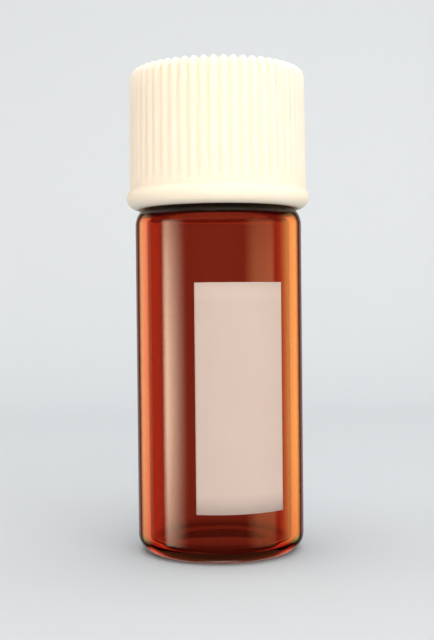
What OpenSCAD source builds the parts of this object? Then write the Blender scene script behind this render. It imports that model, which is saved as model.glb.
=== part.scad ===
// Small amber glass sample vial with a ribbed screw cap.
// Millimetres, +Z up, origin at the centre of the face that the vial stands on.

/* [Glass vial] */
// Outside diameter of the straight body
body_d = 11.75; // [11.4:0.05:12.6]
// Height of the bare glass, from its base to its rim
glass_h = 32; // [30:0.5:45]
// Thickness of the body's wall
wall_t = 0.9; // [0.8:0.05:1.1]
// Thickness of the base at its edge
base_t = 0.75; // [0.6:0.05:1.5]
// Radius of the rounded corner outside the base
heel_r = 1.2; // [0.8:0.05:1.6]
// Radius of the corner inside the base
inner_heel_r = 0.6; // [0.4:0.05:1.2]
// Diameter of the shallow hollow under the base
punt_d = 6.8; // [4:0.1:8]
// Depth of the shallow hollow under the base
punt_h = 0.15; // [0.1:0.05:0.3]
// Distance from the rim down to where the shoulder begins
shoulder_drop = 9.05; // [9:0.05:12]
// Radius of the shoulder's outer curve
shoulder_r = 1.6; // [1.4:0.05:1.7]

/* [Neck] */
// Outside diameter of the neck under its thread
neck_d = 8.5; // [8.3:0.05:8.7]
// Inside diameter of the mouth
mouth_d = 6.2; // [5.9:0.05:6.4]
// Radius of the hollow curve where the neck leaves the shoulder
neck_fillet_r = 0.6; // [0.4:0.05:0.7]
// Radius of the rim's two rounded edges
lip_r = 0.35; // [0.2:0.05:0.45]

/* [Writing patch] */
// Width of the enamel patch, measured round the glass
patch_w = 6.3; // [4:0.1:9]
// Height of the enamel patch
patch_h = 15.4; // [8:0.1:18]
// Height of the patch's lower edge above the base
patch_z = 3.45; // [2:0.05:4]
// Thickness of the enamel
patch_t = 0.03; // [0.02:0.01:0.06]

/* [Screw cap] */
// Height of the cap
cap_h = 9.8; // [9.4:0.1:9.8]
// Thickness of the cap's top wall
cap_top_t = 1.0; // [0.8:0.05:1.3]
// Diameter over the ribs at the foot of the skirt
cap_d = 12.52; // [12.3:0.02:12.6]
// How much smaller the cap is at its top than at its foot
cap_draft = 0.16; // [0:0.02:0.3]
// Radius of the rounded edge round the top
cap_edge_r = 0.65; // [0.5:0.05:0.8]
// Depth of the shallow dished panel in the top
dish_h = 0.2; // [0.1:0.05:0.3]
// Width of the dished panel's sloping edge
dish_slope = 0.35; // [0.1:0.05:0.6]
// Number of gripping ribs
rib_count = 54; // [36:1:72]
// Depth of the grooves between the ribs
rib_depth = 0.24; // [0.1:0.01:0.3]
// Diameter over the smooth bead at the cap's foot
bead_d = 12.92; // [12.8:0.02:13.1]
// Radius of the bead's section
bead_r = 0.82; // [0.7:0.02:0.86]
// Diameter of the threaded bore
cap_bore_d = 9.9; // [9.8:0.02:10]
// Height of the flared mouth below the bore
flare_h = 1.2; // [1.1:0.05:1.4]

/* [Liner] */
// Thickness of the sealing liner
liner_t = 0.9; // [0.6:0.05:1]
// Clearance between the liner and the cap's bore, on the radius
liner_gap = 0.08; // [0.02:0.01:0.1]

/* [Hidden] */
$fn = 96;

body_r = body_d / 2;
inner_r = body_r - wall_t;
neck_r = neck_d / 2;
mouth_r = mouth_d / 2;
punt_r = punt_d / 2;
eps = 1;

// The shoulder curve and the neck's hollow curve touch on the line between their centres.
shoulder_z = glass_h - shoulder_drop;
shoulder_x = body_r - shoulder_r;
fillet_x = neck_r + neck_fillet_r;
fillet_z = shoulder_z + sqrt(pow(shoulder_r + neck_fillet_r, 2) - pow(fillet_x - shoulder_x, 2));
inner_shoulder_r = shoulder_r - wall_t;
inner_fillet_r = fillet_x - mouth_r;
inner_fillet_z = shoulder_z
    + sqrt(pow(inner_shoulder_r + inner_fillet_r, 2) - pow(fillet_x - shoulder_x, 2));
punt_sphere_r = (pow(punt_r, 2) + pow(punt_h, 2)) / (2 * punt_h);

cap_top_z = glass_h + liner_t + cap_top_t;
cap_foot_z = cap_top_z - cap_h;
cap_r = cap_d / 2;
cap_top_r = cap_r - cap_draft / 2;
bore_r = cap_bore_d / 2;
bead_x = bead_d / 2 - bead_r;
bead_z = cap_foot_z + bead_r;
dish_r = cap_top_r - cap_edge_r - 0.1;

// Half section of a straight-walled solid with a rounded foot, up to its shoulder.
module footed_body(r, foot_z, foot_r, top_z) {
    translate([0, foot_z]) square([r - foot_r, foot_r]);
    translate([0, foot_z + foot_r]) square([r, top_z - foot_z - foot_r]);
    translate([r - foot_r, foot_z + foot_r]) circle(foot_r);
}

// Half section of a shoulder: a round of radius r that runs into a hollow round of radius hollow_r.
module shoulder(r, hollow_r, hollow_z) {
    translate([shoulder_x, shoulder_z]) circle(r);
    difference() {
        polygon([
            [0, shoulder_z],
            [shoulder_x, shoulder_z],
            [fillet_x, hollow_z],
            [0, hollow_z]
        ]);
        translate([fillet_x, hollow_z]) circle(hollow_r);
    }
}

// One round at the rim: the square corner that a round of lip_r cuts off.
module lip_corner(x, inward) {
    difference() {
        translate([inward ? x : x - lip_r, glass_h - lip_r]) square([lip_r, lip_r + eps]);
        translate([inward ? x + lip_r : x - lip_r, glass_h - lip_r]) circle(lip_r);
    }
}

// One piece of drawn tube glass: body, base, shoulder, neck and rim.
module vial() {
    color([0.45, 0.14, 0.07, 0.8])
    difference() {
        rotate_extrude() {
            difference() {
                union() {
                    footed_body(body_r, 0, heel_r, shoulder_z);
                    shoulder(shoulder_r, neck_fillet_r, fillet_z);
                    translate([0, fillet_z]) square([neck_r, glass_h - fillet_z]);
                }
                footed_body(inner_r, base_t, inner_heel_r, shoulder_z);
                shoulder(inner_shoulder_r, inner_fillet_r, inner_fillet_z);
                translate([0, inner_fillet_z]) square([mouth_r, glass_h - inner_fillet_z + eps]);
                lip_corner(neck_r, false);
                lip_corner(mouth_r, true);
            }
        }
        translate([0, 0, punt_h - punt_sphere_r]) sphere(punt_sphere_r);
    }
}

// Matt white enamel fired on the glass, centred on -Y.
module writing_patch() {
    patch_angle = patch_w / body_r * 180 / PI;
    color([0.87, 0.77, 0.72])
    translate([0, 0, patch_z])
    rotate([0, 0, -90 - patch_angle / 2])
    rotate_extrude(angle = patch_angle)
        translate([body_r, 0]) square([patch_t, patch_h]);
}

// Outline of the ribbed grip: a crest and a groove for each rib.
module ribbed_outline() {
    polygon([
        for (i = [0 : rib_count - 1])
        for (side = [0, 1])
            let (r = cap_r - side * rib_depth, a = (i + side / 2) * 360 / rib_count)
            [r * cos(a), r * sin(a)]
    ]);
}

// Envelope of the grip: slightly narrower at the top, with its edge rounded.
module grip_envelope() {
    rotate_extrude() {
        polygon([
            [0, bead_z],
            [cap_r, bead_z],
            [cap_top_r, cap_top_z - cap_edge_r],
            [0, cap_top_z - cap_edge_r]
        ]);
        translate([0, cap_top_z - cap_edge_r]) square([cap_top_r - cap_edge_r, cap_edge_r]);
        translate([cap_top_r - cap_edge_r, cap_top_z - cap_edge_r]) circle(cap_edge_r);
    }
}

// One-piece moulded cap: ribbed grip, smooth bead at the foot, plain bore with a flared mouth,
// and a shallow dished panel in the top.
module screw_cap() {
    color([0.99, 0.96, 0.87])
    difference() {
        union() {
            intersection() {
                translate([0, 0, bead_z]) linear_extrude(cap_top_z - bead_z) ribbed_outline();
                grip_envelope();
            }
            rotate_extrude() {
                translate([0, cap_foot_z]) square([bead_x, 2 * bead_r]);
                translate([bead_x, bead_z]) circle(bead_r);
            }
        }
        translate([0, 0, cap_foot_z - eps])
            cylinder(r = bore_r, h = cap_h - cap_top_t + eps);
        translate([0, 0, cap_foot_z])
            cylinder(r1 = bead_x, r2 = bore_r, h = flare_h);
        translate([0, 0, cap_top_z - dish_h])
            cylinder(r1 = dish_r - dish_slope, r2 = dish_r, h = dish_h);
    }
}

// Round sealing liner between the glass rim and the cap's top wall.
module cap_liner() {
    color("whitesmoke")
    translate([0, 0, glass_h]) cylinder(r = bore_r - liner_gap, h = liner_t);
}

vial();
writing_patch();
screw_cap();
cap_liner();
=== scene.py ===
"""Looks of a small amber glass sample vial with a ribbed screw cap.

The vial, its enamel writing patch, the moulded cap and the sealing liner are surfaces of revolution
worked out with numpy. Sizes in the classes are millimetres; meshes are in metres.
"""

from __future__ import annotations

import logging
import math
from collections.abc import Callable
from dataclasses import dataclass, field
from enum import Enum

import bpy
import numpy as np
from mathutils import Euler, Matrix, Vector

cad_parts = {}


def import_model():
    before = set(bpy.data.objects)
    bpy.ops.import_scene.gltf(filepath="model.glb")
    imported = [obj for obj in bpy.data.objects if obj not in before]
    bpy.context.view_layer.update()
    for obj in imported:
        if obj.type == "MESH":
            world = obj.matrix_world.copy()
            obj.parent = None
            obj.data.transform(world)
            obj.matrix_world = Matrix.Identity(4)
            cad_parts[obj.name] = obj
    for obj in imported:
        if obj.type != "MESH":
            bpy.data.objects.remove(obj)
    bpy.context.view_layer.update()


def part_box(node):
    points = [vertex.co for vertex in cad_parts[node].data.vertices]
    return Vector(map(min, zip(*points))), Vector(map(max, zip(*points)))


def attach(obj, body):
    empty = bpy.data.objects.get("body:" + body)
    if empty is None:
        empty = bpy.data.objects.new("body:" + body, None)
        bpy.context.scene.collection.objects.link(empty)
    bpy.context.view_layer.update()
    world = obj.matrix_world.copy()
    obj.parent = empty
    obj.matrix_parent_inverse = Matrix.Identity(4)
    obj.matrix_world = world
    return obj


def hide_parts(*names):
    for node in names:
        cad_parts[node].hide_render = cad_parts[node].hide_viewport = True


log = logging.getLogger("vial")

MM = 0.001

Relief = Callable[[np.ndarray, np.ndarray, np.ndarray], np.ndarray]


# ---------------------------------------------------------------- profiles and surfaces


def arc(centre: tuple[float, float], radius: float, start: float, end: float, steps: int) -> np.ndarray:
    """Points on a circle in the plane of radius and height.

    A point is centre + radius * (cos a, sin a), with a going evenly from start to end.

    Args:
        centre: Distance from the axis and height of the circle's centre.
        radius: Radius of the circle.
        start: First angle in degrees, 0 pointing away from the axis and 90 up.
        end: Last angle in degrees.
        steps: Number of steps between them.

    Returns:
        Array of steps + 1 rows of (distance from the axis, height).
    """
    angle = np.radians(np.linspace(start, end, steps + 1))
    return np.stack([centre[0] + radius * np.cos(angle), centre[1] + radius * np.sin(angle)], axis=1)


def line(start: tuple[float, float], end: tuple[float, float], steps: int) -> np.ndarray:
    """Points on a straight line in the plane of radius and height.

    Args:
        start: First point, (distance from the axis, height).
        end: Last point.
        steps: Number of steps between them.

    Returns:
        Array of steps + 1 rows of (distance from the axis, height).
    """
    return np.linspace(start, end, steps + 1)


def joined(pieces: list[np.ndarray]) -> np.ndarray:
    """One outline from pieces laid end to end, with the doubled points where they meet taken out.

    Args:
        pieces: Arrays of (distance from the axis, height) rows.

    Returns:
        One array of rows, no two neighbours closer than a thousandth of a millimetre.
    """
    rows = np.concatenate(pieces)
    step = np.linalg.norm(np.diff(rows, axis=0), axis=1)
    return rows[np.concatenate([[True], step > 1e-3])]


def smooth_step(value: np.ndarray, low: float, high: float) -> np.ndarray:
    """0 below low, 1 above high and the cubic 3t^2 - 2t^3 between them.

    Args:
        value: Any array.
        low: Value where the rise starts.
        high: Value where it ends.

    Returns:
        Array of the same shape.
    """
    t = np.clip((value - low) / (high - low), 0.0, 1.0)
    return t * t * (3.0 - 2.0 * t)


def outline_normals(profile: np.ndarray) -> np.ndarray:
    """Unit normals of an outline that runs with its solid on the left, pointing out of the solid.

    Args:
        profile: Rows of (distance from the axis, height).

    Returns:
        Array of the same shape: the tangent turned a quarter turn clockwise.
    """
    tangent = np.gradient(profile, axis=0)
    normal = np.stack([tangent[:, 1], -tangent[:, 0]], axis=1)
    return normal / np.maximum(np.linalg.norm(normal, axis=1, keepdims=True), 1e-9)


def turned(name: str, profile: np.ndarray, segments: int, relief: Relief | None = None) -> bpy.types.Object:
    """A closed solid of revolution about the Z axis.

    The outline starts and ends on the axis. Point i of it at angle a goes to
    (r cos a, r sin a, z), after relief has moved it along the outline's normal. The two end
    points become single pole vertices, so the surface has no hole or seam.

    Args:
        name: Name of the new object.
        profile: Rows of (distance from the axis, height) in millimetres, solid on the left.
        segments: Number of steps round the axis.
        relief: Height of the surface's own relief in millimetres, as a function of the row's
            distance from the axis, its height and the angle.

    Returns:
        The new object, at the origin, smooth shaded.
    """
    rings = profile[1:-1]
    angle = np.linspace(0.0, 2.0 * math.pi, segments, endpoint=False)[None, :]
    radius = np.repeat(rings[:, :1], segments, axis=1)
    height = np.repeat(rings[:, 1:], segments, axis=1)
    if relief is not None:
        normal = outline_normals(profile)[1:-1]
        bump = relief(radius, height, np.repeat(angle, len(rings), axis=0))
        radius = radius + bump * normal[:, :1]
        height = height + bump * normal[:, 1:]
    points = np.stack([radius * np.cos(angle), radius * np.sin(angle), height], axis=2).reshape(-1, 3)
    poles = np.array([[0.0, 0.0, profile[0, 1]], [0.0, 0.0, profile[-1, 1]]])
    vertices = np.concatenate([points, poles]) * MM

    row = np.arange(len(rings) - 1)[:, None] * segments
    here = np.arange(segments)[None, :]
    after = (here + 1) % segments
    quads = np.stack([row + here, row + after, row + segments + after, row + segments + here], axis=2)
    first, last = len(points), len(points) + 1
    base = (len(rings) - 1) * segments
    ring = np.arange(segments)
    turn = (ring + 1) % segments
    start_fan = np.stack([np.full(segments, first), turn, ring], axis=1)
    end_fan = np.stack([np.full(segments, last), base + ring, base + turn], axis=1)
    faces = quads.reshape(-1, 4).tolist() + start_fan.tolist() + end_fan.tolist()
    return mesh_object(name, vertices, faces)


def mesh_object(name: str, vertices: np.ndarray, faces: list[list[int]]) -> bpy.types.Object:
    """A smooth-shaded mesh object at the origin.

    Args:
        name: Name of the object and its mesh.
        vertices: Rows of x, y, z in metres.
        faces: Vertex numbers of each face, counter-clockwise seen from outside.

    Returns:
        The new object, linked to the scene.
    """
    mesh = bpy.data.meshes.new(name)
    mesh.from_pydata(vertices.tolist(), [], faces)
    mesh.polygons.foreach_set("use_smooth", np.ones(len(mesh.polygons), dtype=bool))
    mesh.update()
    obj = bpy.data.objects.new(name, mesh)
    bpy.context.scene.collection.objects.link(obj)
    return obj


# ---------------------------------------------------------------- colours and materials


def linear(hex_code: str) -> tuple[float, float, float, float]:
    """Linear RGBA of an sRGB hex colour such as "c08040".

    Args:
        hex_code: Six hex digits.

    Returns:
        Red, green, blue and an alpha of 1.
    """
    srgb = [int(hex_code[i : i + 2], 16) / 255.0 for i in (0, 2, 4)]
    rgb = [c / 12.92 if c <= 0.04045 else ((c + 0.055) / 1.055) ** 2.4 for c in srgb]
    return rgb[0], rgb[1], rgb[2], 1.0


def add_node(tree: bpy.types.NodeTree, kind: str, links: dict | None = None, **settings) -> bpy.types.Node:
    """Adds one node with its settings, socket values and incoming links.

    Args:
        tree: Node tree to add to.
        kind: Blender's node type, such as "ShaderNodeBump".
        links: Input socket to an output socket, or to a plain value for that input.
        **settings: Attributes of the node itself.

    Returns:
        The new node.
    """
    node = tree.nodes.new(kind)
    for key, value in settings.items():
        setattr(node, key, value)
    for socket, source in (links or {}).items():
        if isinstance(source, bpy.types.NodeSocket):
            tree.links.new(source, node.inputs[socket])
        else:
            node.inputs[socket].default_value = source
    return node


def new_material(name: str) -> tuple[bpy.types.Material, bpy.types.NodeTree, bpy.types.NodeSocket]:
    """An empty node material.

    Args:
        name: Name of the material.

    Returns:
        The material, its node tree and its Object coordinates socket, in metres.
    """
    material = bpy.data.materials.new(name)
    material.use_nodes = True
    material.node_tree.nodes.clear()
    coords = add_node(material.node_tree, "ShaderNodeTexCoord")
    return material, material.node_tree, coords.outputs["Object"]


def per_mm(size: float) -> float:
    """Noise scale that gives features of about this many millimetres on Object coordinates."""
    return 1.0 / (size * MM)


@dataclass(frozen=True)
class AmberGlass:
    """Clear amber glass, drawn as tube and fire polished.

    The absorption takes nearly all the blue and most of the green in two walls, so the middle
    reads dark red-brown, while bright light caught along the edges comes out orange.
    """

    ior: float = 1.51
    roughness: float = 0.012
    tint: str = "f9ece7"
    density: float = 12000.0
    streak_mm: float = 1.3
    streak_stretch: float = 0.05
    streak_height_mm: float = 0.0015

    def material(self) -> bpy.types.Material:
        """The finished glass, with an absorbing volume and faint lengthwise drawing streaks."""
        material, tree, position = new_material("amber_glass")
        stretched = add_node(
            tree,
            "ShaderNodeMapping",
            {"Vector": position, "Scale": (1.0, 1.0, self.streak_stretch)},
        )
        streaks = add_node(
            tree,
            "ShaderNodeTexNoise",
            {"Vector": stretched.outputs["Vector"], "Scale": per_mm(self.streak_mm), "Detail": 1.0},
        )
        bump = add_node(
            tree,
            "ShaderNodeBump",
            {"Height": streaks.outputs["Fac"], "Distance": self.streak_height_mm * MM, "Strength": 1.0},
        )
        shader = add_node(
            tree,
            "ShaderNodeBsdfPrincipled",
            {
                "Base Color": (1.0, 1.0, 1.0, 1.0),
                "Roughness": self.roughness,
                "IOR": self.ior,
                "Transmission Weight": 1.0,
                "Normal": bump.outputs["Normal"],
            },
        )
        volume = add_node(
            tree,
            "ShaderNodeVolumeAbsorption",
            {"Color": linear(self.tint), "Density": self.density},
        )
        add_node(
            tree,
            "ShaderNodeOutputMaterial",
            {"Surface": shader.outputs["BSDF"], "Volume": volume.outputs["Volume"]},
        )
        return material


@dataclass(frozen=True)
class FiredEnamel:
    """Matt enamel screen-printed on the glass and fired: chalky, slightly pink, faintly mottled."""

    colour: str = "bfaca2"
    pale: str = "c4b2a9"
    roughness: float = 0.62
    mottle_mm: float = 2.2
    grain_mm: float = 0.12
    grain_height_mm: float = 0.006

    def material(self) -> bpy.types.Material:
        """The finished enamel, with soft mottling and the fine grain that takes a pencil."""
        material, tree, position = new_material("fired_enamel")
        mottle = add_node(
            tree,
            "ShaderNodeTexNoise",
            {"Vector": position, "Scale": per_mm(self.mottle_mm), "Detail": 3.0, "Roughness": 0.6},
        )
        colour = add_node(
            tree,
            "ShaderNodeMix",
            {"Factor": mottle.outputs["Fac"]},
            data_type="RGBA",
        )
        colour.inputs["A"].default_value = linear(self.colour)
        colour.inputs["B"].default_value = linear(self.pale)
        grain = add_node(
            tree,
            "ShaderNodeTexNoise",
            {"Vector": position, "Scale": per_mm(self.grain_mm), "Detail": 2.0},
        )
        bump = add_node(
            tree,
            "ShaderNodeBump",
            {"Height": grain.outputs["Fac"], "Distance": self.grain_height_mm * MM, "Strength": 0.6},
        )
        shader = add_node(
            tree,
            "ShaderNodeBsdfPrincipled",
            {
                "Base Color": colour.outputs["Result"],
                "Roughness": self.roughness,
                "Normal": bump.outputs["Normal"],
            },
        )
        add_node(tree, "ShaderNodeOutputMaterial", {"Surface": shader.outputs["BSDF"]})
        return material


@dataclass(frozen=True)
class MouldedPlastic:
    """Injection moulded plastic: satin, a little translucent, with faint flow marks."""

    name: str
    colour: str
    warm: str
    roughness: float
    subsurface: float
    subsurface_mm: float = 1.2
    subsurface_tint: tuple[float, float, float] = (1.0, 0.9, 0.8)
    ior: float = 1.49
    gloss: float = 0.25
    flow_mm: float = 3.5
    grain_mm: float = 0.16
    grain_height_mm: float = 0.004

    def material(self) -> bpy.types.Material:
        """The finished plastic, with slow colour drift and a fine moulded grain."""
        material, tree, position = new_material(self.name)
        flow = add_node(
            tree,
            "ShaderNodeTexNoise",
            {"Vector": position, "Scale": per_mm(self.flow_mm), "Detail": 2.0},
        )
        colour = add_node(tree, "ShaderNodeMix", {"Factor": flow.outputs["Fac"]}, data_type="RGBA")
        colour.inputs["A"].default_value = linear(self.colour)
        colour.inputs["B"].default_value = linear(self.warm)
        grain = add_node(
            tree,
            "ShaderNodeTexNoise",
            {"Vector": position, "Scale": per_mm(self.grain_mm), "Detail": 2.0},
        )
        bump = add_node(
            tree,
            "ShaderNodeBump",
            {"Height": grain.outputs["Fac"], "Distance": self.grain_height_mm * MM, "Strength": 0.5},
        )
        shader = add_node(
            tree,
            "ShaderNodeBsdfPrincipled",
            {
                "Base Color": colour.outputs["Result"],
                "Roughness": self.roughness,
                "IOR": self.ior,
                "Specular IOR Level": self.gloss,
                "Subsurface Weight": self.subsurface,
                "Subsurface Radius": self.subsurface_tint,
                "Subsurface Scale": self.subsurface_mm * MM,
                "Normal": bump.outputs["Normal"],
            },
        )
        add_node(tree, "ShaderNodeOutputMaterial", {"Surface": shader.outputs["BSDF"]})
        return material


# ---------------------------------------------------------------- the object's pieces


@dataclass(frozen=True)
class ThreadRidge:
    """A right-hand helical ridge, 12 turns per inch."""

    start_z: float
    turns: float
    height: float
    half_width: float
    flank: float = 0.24
    run_out: float = 0.14
    pitch: float = 25.4 / 12.0

    def relief(self, height: np.ndarray, angle: np.ndarray) -> np.ndarray:
        """Height of the ridge over a plain cylinder.

        The helix is z = start_z + pitch * s, with s the angle in turns. A point's distance d from
        the nearest turn gives a flat crest with smooth flanks, and the ridge sinks into the wall
        over run_out turns at both ends.

        Args:
            height: Heights of the points.
            angle: Their angles about the axis in radians.

        Returns:
            Relief in millimetres, never negative: the wall's normal decides which way it stands.
        """
        result = np.zeros_like(height)
        for turn in range(math.ceil(self.turns) + 1):
            s = angle / (2.0 * math.pi) + turn
            distance = np.abs(height - self.start_z - self.pitch * s)
            crest = 1.0 - smooth_step(distance, self.half_width - self.flank, self.half_width)
            ends = smooth_step(s, 0.0, self.run_out)
            ends = ends * (1.0 - smooth_step(s, self.turns - self.run_out, self.turns))
            result = np.maximum(result, crest * ends)
        return result * self.height


@dataclass
class GlassVial:
    """The vial itself: body, base, shoulder, neck and rim of one wall of glass."""

    body_r: float
    glass_h: float
    wall_t: float = 0.9
    base_t: float = 0.75
    heel_r: float = 1.2
    inner_heel_r: float = 0.6
    punt_r: float = 3.4
    punt_h: float = 0.15
    shoulder_drop: float = 9.05
    shoulder_r: float = 1.6
    neck_r: float = 4.25
    mouth_r: float = 3.1
    fillet_r: float = 0.6
    lip_r: float = 0.35
    thread_drop: float = 4.6
    thread_turns: float = 1.6
    segments: int = 216
    finish: AmberGlass = field(default_factory=AmberGlass)

    def thread(self) -> ThreadRidge:
        """The ridge round the neck that the cap screws on to."""
        return ThreadRidge(
            start_z=self.glass_h - self.thread_drop,
            turns=self.thread_turns,
            height=0.52,
            half_width=0.5,
        )

    def shoulder_curves(self, round_r: float, hollow_r: float) -> tuple[tuple, tuple, float]:
        """Where the shoulder's round meets the hollow curve under the neck.

        The two circles touch on the line between their centres.

        Args:
            round_r: Radius of the shoulder's round.
            hollow_r: Radius of the hollow curve.

        Returns:
            Centre of the round, centre of the hollow curve, and the angle in degrees of the
            line from the first to the second.
        """
        centre = (self.body_r - self.shoulder_r, self.glass_h - self.shoulder_drop)
        across = self.neck_r + self.fillet_r - centre[0]
        up = math.sqrt((round_r + hollow_r) ** 2 - across**2)
        return centre, (centre[0] + across, centre[1] + up), math.degrees(math.atan2(up, across))

    def outer_outline(self) -> np.ndarray:
        """The outside, from the middle of the base up to the top of the rim."""
        punt_sphere_r = (self.punt_r**2 + self.punt_h**2) / (2.0 * self.punt_h)
        punt_angle = math.degrees(math.asin(self.punt_r / punt_sphere_r))
        centre, hollow, touch = self.shoulder_curves(self.shoulder_r, self.fillet_r)
        heel = self.body_r - self.heel_r
        return joined([
            arc((0.0, self.punt_h - punt_sphere_r), punt_sphere_r, 90.0, 90.0 - punt_angle, 10),
            line((self.punt_r, 0.0), (heel, 0.0), 4),
            arc((heel, self.heel_r), self.heel_r, -90.0, 0.0, 18),
            line((self.body_r, self.heel_r), (self.body_r, centre[1]), 10),
            arc(centre, self.shoulder_r, 0.0, touch, 22),
            arc(hollow, self.fillet_r, touch + 180.0, 180.0, 10),
            line((self.neck_r, hollow[1]), (self.neck_r, self.glass_h - self.lip_r), 84),
            arc((self.neck_r - self.lip_r, self.glass_h - self.lip_r), self.lip_r, 0.0, 90.0, 8),
        ])

    def inner_outline(self) -> np.ndarray:
        """The inside, from the top of the rim down to the middle of the base."""
        inner_r = self.body_r - self.wall_t
        hollow_r = self.neck_r + self.fillet_r - self.mouth_r
        centre, hollow, touch = self.shoulder_curves(self.shoulder_r - self.wall_t, hollow_r)
        heel = inner_r - self.inner_heel_r
        floor = self.base_t + self.inner_heel_r
        return joined([
            arc((self.mouth_r + self.lip_r, self.glass_h - self.lip_r), self.lip_r, 90.0, 180.0, 8),
            line((self.mouth_r, self.glass_h - self.lip_r), (self.mouth_r, hollow[1]), 8),
            arc(hollow, hollow_r, 180.0, touch + 180.0, 14),
            arc(centre, self.shoulder_r - self.wall_t, touch, 0.0, 12),
            line((inner_r, centre[1]), (inner_r, floor), 10),
            arc((heel, floor), self.inner_heel_r, 0.0, -90.0, 14),
            line((heel, self.base_t), (0.0, self.base_t), 8),
        ])

    def build(self) -> bpy.types.Object:
        """Makes the glass as one closed wall and dresses it."""
        thread = self.thread()
        outline = joined([self.outer_outline(), self.inner_outline()])

        def relief(radius: np.ndarray, height: np.ndarray, angle: np.ndarray) -> np.ndarray:
            """The thread, on the outside of the neck only."""
            outside = np.abs(radius - self.neck_r) < 1e-6
            return np.where(outside, thread.relief(height, angle), 0.0)

        obj = turned("glass_vial", outline, self.segments, relief)
        obj.data.materials.append(self.finish.material())
        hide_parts("vial")
        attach(obj, "vial")
        return obj


@dataclass
class WritingPatch:
    """The enamel field printed on the glass, a plain rectangle wrapped round the body."""

    body_r: float
    foot_z: float
    height: float
    width: float = 6.3
    inner_gap: float = 0.004
    thickness: float = 0.03
    columns: int = 48
    rows: int = 12
    finish: FiredEnamel = field(default_factory=FiredEnamel)

    def build(self) -> bpy.types.Object:
        """Makes the patch as a thin closed plate on the glass and dresses it.

        A point at (u, v, w) goes to radius body_r + w at the angle u * width / body_r about the
        axis, measured from -Y, and at the height foot_z + v * height. The two skins and the four
        edges share their rims.
        """
        half = self.width / self.body_r / 2.0
        angle = np.linspace(-half, half, self.columns + 1)
        level = np.linspace(self.foot_z, self.foot_z + self.height, self.rows + 1)
        skins = []
        for radius in (self.body_r + self.thickness, self.body_r + self.inner_gap):
            a, z = np.meshgrid(angle, level)
            skins.append(np.stack([radius * np.sin(a), -radius * np.cos(a), z], axis=2).reshape(-1, 3))
        vertices = np.concatenate(skins) * MM

        across = self.columns + 1
        cell = (np.arange(self.rows)[:, None] * across + np.arange(self.columns)[None, :]).reshape(-1)
        front = np.stack([cell, cell + 1, cell + across + 1, cell + across], axis=1)
        size = across * (self.rows + 1)
        back = front[:, ::-1] + size
        low = np.arange(across)
        high = low + across * self.rows
        left = np.arange(self.rows + 1) * across
        right = left + self.columns
        rim = np.concatenate([low, right[1:], high[-2::-1], left[-2:0:-1]])
        following = np.roll(rim, -1)
        edge = np.stack([rim, rim + size, following + size, following], axis=1)
        faces = np.concatenate([front, back, edge]).tolist()

        obj = mesh_object("writing_patch_enamel", vertices, faces)
        obj.data.materials.append(self.finish.material())
        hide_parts("writing_patch")
        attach(obj, "vial")
        return obj


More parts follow.
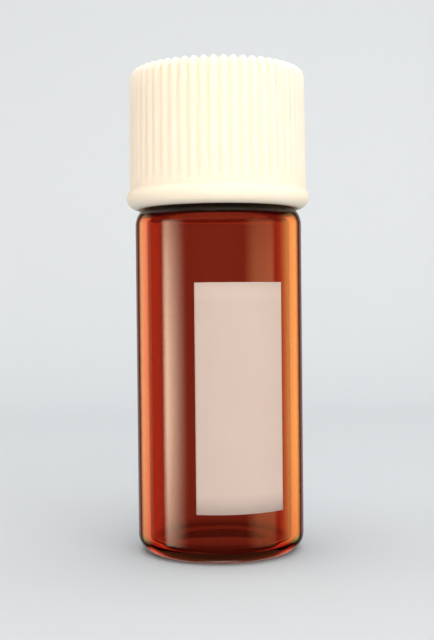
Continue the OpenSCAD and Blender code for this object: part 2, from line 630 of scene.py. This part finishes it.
@dataclass
class ScrewCap:
    """The moulded cap: ribbed grip, smooth foot bead, threaded bore."""

    foot_z: float
    top_z: float
    bead_r_max: float
    foot_r: float = 6.26
    top_r: float = 6.18
    bead_r: float = 0.82
    edge_r: float = 0.65
    dish_h: float = 0.2
    dish_slope: float = 0.35
    top_t: float = 1.0
    bore_r: float = 4.95
    flare_h: float = 1.2
    flare_in: float = 0.1
    flare_foot: float = 0.14
    lip_r: float = 0.12
    thread_rise: float = 2.2
    thread_turns: float = 1.7
    ribs: int = 54
    rib_depth: float = 0.24
    rib_roundness: float = 1.5
    rib_foot: tuple[float, float] = (0.55, 1.25)
    side_share: float = 0.5
    full_depth_drop: tuple[float, float] = (2.2, 0.7)
    rim_w: float = 0.1
    steps_per_rib: int = 8
    gate_r: float = 0.55
    gate_h: float = 0.08
    finish: MouldedPlastic = field(
        default_factory=lambda: MouldedPlastic(
            name="cap_polypropylene",
            colour="f8e7d6",
            warm="f6e4d0",
            roughness=0.56,
            subsurface=1.0,
        )
    )

    def thread(self) -> ThreadRidge:
        """The ridge inside the bore, about half a pitch below the neck's, so that the two interleave."""
        return ThreadRidge(
            start_z=self.foot_z + self.thread_rise,
            turns=self.thread_turns,
            height=0.52,
            half_width=0.48,
        )

    def outline(self) -> np.ndarray:
        """The whole section, from the middle of the bore's end round the foot to the top's middle."""
        bead_x = self.bead_r_max - self.bead_r
        bead_z = self.foot_z + self.bead_r
        ceiling = self.top_z - self.top_t
        corner = (self.top_r - self.edge_r, self.top_z - self.edge_r)
        dish_r = corner[0] - self.rim_w
        panel_z = self.top_z - self.dish_h
        meet = math.degrees(math.acos((self.foot_r - bead_x) / self.bead_r))
        flare_top = (self.bore_r, self.foot_z + self.flare_h)
        wall_foot = (self.foot_r, bead_z + self.bead_r * math.sin(math.radians(meet)))
        return joined([
            line((0.0, ceiling), (self.bore_r, ceiling), 6),
            line((self.bore_r, ceiling), flare_top, 78),
            line(flare_top, (bead_x - self.flare_in, self.foot_z + self.flare_foot), 6),
            arc((bead_x, self.foot_z + self.lip_r), self.lip_r, 180.0, 270.0, 4),
            arc((bead_x, bead_z), self.bead_r, -90.0, meet, 22),
            line(wall_foot, (self.top_r, corner[1]), 26),
            arc(corner, self.edge_r, 0.0, 90.0, 16),
            line((corner[0], self.top_z), (dish_r, self.top_z), 2),
            line((dish_r, self.top_z), (dish_r - self.dish_slope, panel_z), 6),
            line((dish_r - self.dish_slope, panel_z), (self.gate_r, panel_z), 8),
            arc((self.gate_r - self.gate_h, panel_z), self.gate_h, 0.0, 90.0, 3),
            line((self.gate_r - self.gate_h, panel_z + self.gate_h), (0.0, panel_z + self.gate_h), 2),
        ])

    def build(self) -> bpy.types.Object:
        """Makes the cap as one closed moulding and dresses it."""
        thread = self.thread()
        bead_z = self.foot_z + self.bead_r
        corner_r = self.top_r - self.edge_r

        def relief(radius: np.ndarray, height: np.ndarray, angle: np.ndarray) -> np.ndarray:
            """Grooves of the grip, which die out over the bead and in the top's dish, and the thread.

            A groove's depth goes as 1 - |cos(ribs * a / 2)| ^ rib_roundness: round crests, narrow
            valleys. It is full at the top edge and falls to side_share of that down the side.
            """
            groove = 1.0 - np.abs(np.cos(self.ribs * angle / 2.0)) ** self.rib_roundness
            outside = radius > self.bore_r + 0.2
            above = smooth_step(height, bead_z + self.rib_foot[0], bead_z + self.rib_foot[1])
            inboard = smooth_step(radius, corner_r - 0.6, corner_r - 0.05)
            low, high = (self.top_z - drop for drop in self.full_depth_drop)
            share = self.side_share + (1.0 - self.side_share) * smooth_step(height, low, high)
            ribs = -self.rib_depth * share * groove * above * inboard * outside
            in_bore = np.abs(radius - self.bore_r) < 1e-6
            return ribs + np.where(in_bore, thread.relief(height, angle), 0.0)

        obj = turned("ribbed_screw_cap", self.outline(), self.ribs * self.steps_per_rib, relief)
        obj.data.materials.append(self.finish.material())
        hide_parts("screw_cap")
        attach(obj, "cap")
        return obj


@dataclass
class SealingLiner:
    """The loose disc in the cap, with the shallow ring that the glass rim presses into it."""

    foot_z: float
    top_z: float
    disc_r: float
    rim_r: float = 3.68
    rim_half_width: float = 0.45
    rim_flat: float = 0.6
    dent: float = 0.03
    edge_r: float = 0.12
    segments: int = 128
    finish: MouldedPlastic = field(
        default_factory=lambda: MouldedPlastic(
            name="liner_polyethylene",
            colour="f4f3ee",
            warm="ecebe5",
            roughness=0.55,
            subsurface=0.1,
        )
    )

    def build(self) -> bpy.types.Object:
        """Makes the disc and dresses it."""
        side = self.disc_r - self.edge_r
        outline = joined([
            line((0.0, self.foot_z), (side, self.foot_z), 60),
            arc((side, self.foot_z + self.edge_r), self.edge_r, -90.0, 0.0, 5),
            line((self.disc_r, self.foot_z + self.edge_r), (self.disc_r, self.top_z - self.edge_r), 3),
            arc((side, self.top_z - self.edge_r), self.edge_r, 0.0, 90.0, 5),
            line((side, self.top_z), (0.0, self.top_z), 8),
        ])

        def relief(radius: np.ndarray, height: np.ndarray, angle: np.ndarray) -> np.ndarray:
            """A rounded ring pressed into the lower face."""
            away = np.abs(radius - self.rim_r)
            clear = smooth_step(away, self.rim_flat * self.rim_half_width, self.rim_half_width)
            under = height < self.foot_z + 1e-6
            return self.dent * (np.where(under, clear, 1.0) - 1.0)

        obj = turned("sealing_liner", outline, self.segments, relief)
        obj.data.materials.append(self.finish.material())
        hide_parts("cap_liner")
        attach(obj, "liner")
        return obj


# ---------------------------------------------------------------- studio


@dataclass
class StudioFloor:
    """A pale floor that sweeps up into a pale backdrop without an edge."""

    colour: str = "ccd1d6"
    half_width: float = 600.0
    front: float = 500.0
    back: float = 200.0
    bend_r: float = 110.0
    wall_h: float = 520.0
    heading_deg: float = 0.0

    def build(self) -> bpy.types.Object:
        """Makes the sweep: a floor line, a quarter circle and a wall line carried across the width."""
        section = joined([
            line((-self.front, 0.0), (self.back - self.bend_r, 0.0), 4),
            arc((self.back - self.bend_r, self.bend_r), self.bend_r, -90.0, 0.0, 24),
            line((self.back, self.bend_r), (self.back, self.wall_h), 4),
        ])
        count = len(section)
        sides = [np.column_stack([np.full(count, x), section]) for x in (-self.half_width, self.half_width)]
        turn = Matrix.Rotation(math.radians(self.heading_deg), 3, "Z")
        vertices = np.concatenate(sides) @ np.array(turn).T * MM
        start = np.arange(count - 1)
        faces = np.stack([start, start + count, start + count + 1, start + 1], axis=1).tolist()
        obj = mesh_object("studio_floor", vertices, faces)
        material, tree, _ = new_material("pale_paper")
        shader = add_node(
            tree,
            "ShaderNodeBsdfPrincipled",
            {"Base Color": linear(self.colour), "Roughness": 0.8, "Specular IOR Level": 0.2},
        )
        add_node(tree, "ShaderNodeOutputMaterial", {"Surface": shader.outputs["BSDF"]})
        obj.data.materials.append(material)
        obj.visible_glossy = False
        obj.visible_transmission = False
        return obj


class Job(Enum):
    """What a light is there for: which kinds of ray may see it."""

    MODELLING = "diffuse"
    SHEEN = "glossy"
    RIM = "transmission"


Edges = tuple[float, float, float, float]


@dataclass
class Softbox:
    """A rectangular area light on a stand.

    As with flags and screens in a studio, each light does one job: it lights the matt surfaces,
    or it draws a reflection on the glass, or it shines through the glass from behind.

    across and up shade the light over its face, which runs from 0 to 1 anticlockwise round the
    vial seen from above, and from 0 to 1 upwards: nothing at the first number, full from the
    second to the third, nothing again at the fourth.
    """

    name: str
    azimuth_deg: float
    distance: float
    centre_z: float
    width: float
    height: float
    radiance: float
    job: Job
    across: Edges | None = None
    up: Edges | None = None
    colour: str = "ffffff"
    aim_behind: float = 0.0
    aim_z: float = 17.0

    def shade(self, data: bpy.types.Light) -> None:
        """Gives the light its soft edges.

        Args:
            data: The area light.
        """
        data.use_nodes = True
        tree = data.node_tree
        tree.nodes.clear()
        face = add_node(tree, "ShaderNodeNewGeometry")
        parts = add_node(tree, "ShaderNodeSeparateXYZ", {"Vector": face.outputs["Parametric"]})
        strength: bpy.types.NodeSocket | float = 1.0
        for axis, edges in (("X", self.across), ("Y", self.up)):
            for low, high in ((edges[0], edges[1]), (edges[3], edges[2])) if edges else ():
                ramp = add_node(
                    tree,
                    "ShaderNodeMapRange",
                    {"Value": parts.outputs[axis], "From Min": low, "From Max": high},
                    interpolation_type="SMOOTHSTEP",
                )
                product = add_node(
                    tree,
                    "ShaderNodeMath",
                    {0: strength, 1: ramp.outputs["Result"]},
                    operation="MULTIPLY",
                )
                strength = product.outputs[0]
        emission = add_node(tree, "ShaderNodeEmission", {"Strength": strength})
        add_node(tree, "ShaderNodeOutputLight", {"Surface": emission.outputs["Emission"]})

    def build(self, heading_deg: float) -> bpy.types.Object:
        """Puts the light at its azimuth, counted from the camera's side towards the right.

        Args:
            heading_deg: Azimuth of the camera about the vial.

        Returns:
            The light object.
        """
        data = bpy.data.lights.new(self.name, "AREA")
        data.shape = "RECTANGLE"
        data.size = self.width * MM
        data.size_y = self.height * MM
        # A lamp's power in watts is pi times its radiance times its area.
        data.energy = self.radiance * math.pi * data.size * data.size_y
        data.color = linear(self.colour)[:3]
        if self.across or self.up:
            self.shade(data)
        obj = bpy.data.objects.new(self.name, data)
        bpy.context.scene.collection.objects.link(obj)
        angle = math.radians(self.azimuth_deg + heading_deg)
        back = math.radians(heading_deg)
        place = Vector((math.sin(angle), -math.cos(angle), 0.0)) * self.distance
        place.z = self.centre_z
        aim = Vector((-math.sin(back), math.cos(back), 0.0)) * self.aim_behind
        aim.z = self.aim_z
        place, aim = place * MM, aim * MM
        obj.location = place
        obj.rotation_euler = (aim - place).to_track_quat("-Z", "Y").to_euler()
        obj.visible_camera = False
        obj.visible_diffuse = self.job is Job.MODELLING
        obj.visible_glossy = self.job is Job.SHEEN
        obj.visible_transmission = self.job is Job.RIM
        return obj


@dataclass
class Camera:
    """A close camera at about half the vial's height, looking almost level."""

    heading_deg: float = -14.6
    distance: float = 77.98
    eye_z: float = 17.56
    pitch_deg: float = 0.95
    pan_deg: float = 0.113
    roll_deg: float = 0.57
    focal_per_height: float = 1.709
    frame_mm: float = 36.0
    near_m: float = 0.002
    far_m: float = 20.0

    def build(self) -> bpy.types.Object:
        """Makes the camera and turns it to the vial."""
        data = bpy.data.cameras.new("studio_camera")
        data.sensor_fit = "VERTICAL"
        data.sensor_height = self.frame_mm
        data.lens = data.sensor_height * self.focal_per_height
        data.clip_start = self.near_m
        data.clip_end = self.far_m
        obj = bpy.data.objects.new("studio_camera", data)
        bpy.context.scene.collection.objects.link(obj)
        angle = math.radians(self.heading_deg)
        obj.location = Vector((math.sin(angle), -math.cos(angle), 0.0)) * self.distance * MM
        obj.location.z = self.eye_z * MM
        tilt, pan = math.radians(90.0 - self.pitch_deg), math.radians(self.heading_deg + self.pan_deg)
        level = Euler((tilt, 0.0, pan))
        roll = Matrix.Rotation(math.radians(-self.roll_deg), 3, "Z")
        obj.rotation_euler = (level.to_matrix() @ roll).to_euler()
        bpy.context.scene.camera = obj
        return obj


@dataclass
class Studio:
    """Floor, lights, surroundings and camera.

    The surroundings are dark for reflections, and pale for matt surfaces and where they are seen
    through the glass, so that the glass shows its own colour from every side.
    """

    camera: Camera = field(default_factory=Camera)
    surroundings: str = "fff9f0"
    reflected: float = 0.03
    ambient: float = 0.6
    table: float = 0.3
    table_edge: tuple[float, float] = (-0.45, -0.1)

    def lights(self) -> list[Softbox]:
        """The lights: reflections down the glass, glows behind its edges, cards for foot and shoulder.

        The cards and glints are small lights below the floor and under the cap. Only the glass's
        reflections, or what is seen through it, show them.
        """
        sheen, rim, modelling = Job.SHEEN, Job.RIM, Job.MODELLING
        tall = (0.05, 0.4, 0.42, 0.9)
        long = (0.1, 0.45, 0.6, 1.1)
        bell = (0.0, 0.5, 0.5, 1.0)
        rising, falling = (0.0, 0.24, 0.0, 0.92), (-0.1, 0.4, 0.78, 1.0)
        left_band, right_band = (0.1, 0.42, 0.56, 1.0), (0.0, 0.46, 0.62, 0.93)
        to_left, to_right = (0.0, 0.9, 1.0, 1.001), (-0.001, 0.0, 0.1, 1.0)
        cream, amber, straw, honey = "ffeac8", "ffb074", "ffdc9a", "ffe07c"
        pink, rust, ember, coral, peach, sand = "ffe0d8", "d86a44", "ff5540", "ff4c30", "ffa080", "ffe8cc"
        return [
            Softbox("left_sheen", -62.0, 260.0, 10.0, 221.0, 230.0, 15.0, sheen, rising, tall, cream),
            Softbox("right_sheen", 60.0, 260.0, 10.0, 240.0, 230.0, 4.4, sheen, falling, tall, amber),
            Softbox("left_edge", -126.0, 260.0, 0.0, 231.0, 300.0, 3.0, sheen, left_band, long, straw),
            Softbox("right_edge", 118.0, 260.0, 0.0, 300.0, 300.0, 3.7, sheen, right_band, long, honey),
            Softbox("left_glow", -152.0, 260.0, 0.0, 231.0, 400.0, 2.6, rim, to_left),
            Softbox("right_glow", 152.0, 260.0, 0.0, 231.0, 400.0, 2.9, rim, to_right),
            Softbox("foot_card", 0.0, 0.0, -10.0, 8.0, 8.0, 1.5, sheen, bell, bell, pink),
            Softbox("warm_card", 0.0, 0.0, -11.0, 34.0, 34.0, 0.9, sheen, colour=rust),
            Softbox("left_glint", -137.0, 40.0, -28.0, 40.0, 24.0, 3.2, sheen, bell, bell, ember),
            Softbox("right_glint", 137.0, 40.0, -28.0, 40.0, 24.0, 2.8, sheen, bell, bell, coral),
            Softbox("backdrop_sheen", 180.0, 260.0, 0.0, 300.0, 400.0, 0.3, sheen),
            Softbox("shoulder_card", 0.0, 0.0, 24.1, 13.0, 13.0, 0.3, rim, colour=peach, aim_z=0.0),
            Softbox("key", 22.0, 300.0, 110.0, 340.0, 300.0, 2.3, modelling),
            Softbox("front_fill", -12.0, 300.0, 40.0, 300.0, 180.0, 1.6, modelling, colour=sand),
            Softbox(
                "overhead", 180.0, 20.0, 300.0, 420.0, 320.0, 1.4, modelling, aim_behind=60.0, aim_z=0.0
            ),
        ]

    def build(self) -> None:
        """Sets up the whole studio round the vial."""
        self.camera.build()
        StudioFloor(heading_deg=self.camera.heading_deg).build()
        for softbox in self.lights():
            softbox.build(self.camera.heading_deg)
        self.surround()
        bpy.context.scene.view_settings.view_transform = "Standard"

    def surround(self) -> None:
        """Makes the world: pale, dark where it is mirrored, and dimmer below the table's edge."""
        world = bpy.data.worlds.new("studio_air")
        world.use_nodes = True
        world.node_tree.nodes.clear()
        ray = add_node(world.node_tree, "ShaderNodeLightPath")
        mirrored = add_node(
            world.node_tree,
            "ShaderNodeMath",
            {0: ray.outputs["Is Glossy Ray"], 1: ray.outputs["Is Transmission Ray"]},
            operation="SUBTRACT",
        )
        strength = add_node(
            world.node_tree,
            "ShaderNodeMapRange",
            {
                "Value": mirrored.outputs["Value"],
                "To Min": self.ambient,
                "To Max": self.reflected,
            },
        )
        direction = add_node(world.node_tree, "ShaderNodeTexCoord")
        parts = add_node(
            world.node_tree,
            "ShaderNodeSeparateXYZ",
            {"Vector": direction.outputs["Generated"]},
        )
        table = add_node(
            world.node_tree,
            "ShaderNodeMapRange",
            {
                "Value": parts.outputs["Z"],
                "From Min": self.table_edge[0],
                "From Max": self.table_edge[1],
                "To Min": self.table,
                "To Max": 1.0,
            },
            interpolation_type="SMOOTHSTEP",
        )
        product = add_node(
            world.node_tree,
            "ShaderNodeMath",
            {0: strength.outputs["Result"], 1: table.outputs["Result"]},
            operation="MULTIPLY",
        )
        glow = add_node(
            world.node_tree,
            "ShaderNodeBackground",
            {"Color": linear(self.surroundings), "Strength": product.outputs["Value"]},
        )
        add_node(world.node_tree, "ShaderNodeOutputWorld", {"Surface": glow.outputs["Background"]})
        bpy.context.scene.world = world


# ---------------------------------------------------------------- assembly


@dataclass
class Extent:
    """A CAD node's reach in millimetres, read from the frame."""

    low_z: float
    high_z: float
    radius: float

    @classmethod
    def of(cls, node: str) -> Extent:
        """Reads a node's box.

        Args:
            node: Name of the CAD node.

        Returns:
            Its lowest and highest z, and half its width along X.
        """
        low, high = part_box(node)
        return cls(low[2] / MM, high[2] / MM, (high[0] - low[0]) / 2.0 / MM)


def main() -> None:
    """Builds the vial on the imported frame, piece by piece, and sets up the studio."""
    logging.basicConfig(level=logging.INFO, format="%(name)s: %(message)s")
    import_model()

    glass = Extent.of("vial")
    patch = Extent.of("writing_patch")
    cap = Extent.of("screw_cap")
    liner = Extent.of("cap_liner")
    pieces = [
        GlassVial(body_r=glass.radius, glass_h=glass.high_z),
        WritingPatch(body_r=glass.radius, foot_z=patch.low_z, height=patch.high_z - patch.low_z),
        ScrewCap(foot_z=cap.low_z, top_z=cap.high_z, bead_r_max=cap.radius),
        SealingLiner(foot_z=liner.low_z, top_z=liner.high_z, disc_r=liner.radius),
    ]
    for piece in pieces:
        obj = piece.build()
        log.info("%s: %d faces", obj.name, len(obj.data.polygons))

    Studio().build()


if __name__ == "__main__":
    main()
